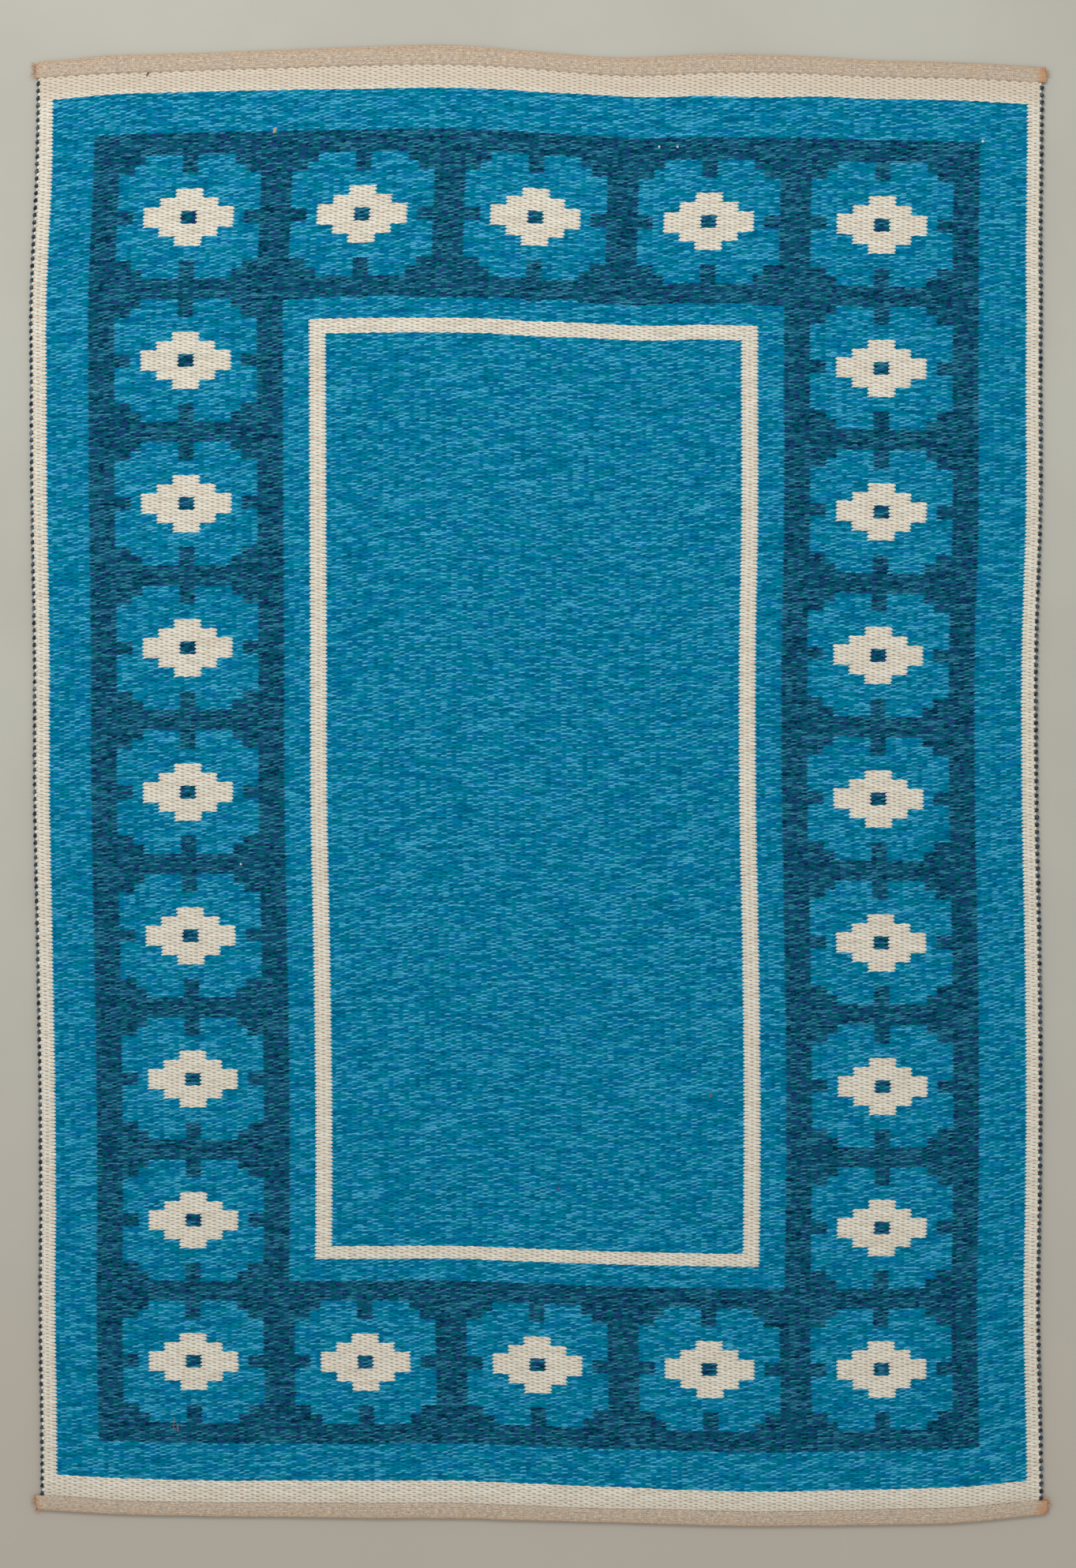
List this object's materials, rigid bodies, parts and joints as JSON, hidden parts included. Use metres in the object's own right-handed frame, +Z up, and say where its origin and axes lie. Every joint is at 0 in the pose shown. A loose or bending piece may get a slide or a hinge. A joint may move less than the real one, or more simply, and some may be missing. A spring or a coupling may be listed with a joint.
{
  "type": "double-woven reversible rug",
  "caption": "Flat double-woven wool rug with a plain blue field, a cream line frame, a border of stepped lozenges in medallions and folded heading tapes.",
  "frame": {"origin": "on the surface the rug lies on, under the middle of its bounding box", "axes": "+Z up through the rug's thickness, +Y along its length, +X across its width"},
  "size_m": [1.3877, 2.019, 0.006],
  "materials": {
    "wool_cloth": "matt marled wool, weft-faced double weave",
    "heading_tape": "matt plain-woven tape"
  },
  "bodies": {
    "root": {"rug_cloth": "wool_cloth", "heading_far": "heading_tape", "heading_near": "heading_tape"}
  },
  "joints": []
}
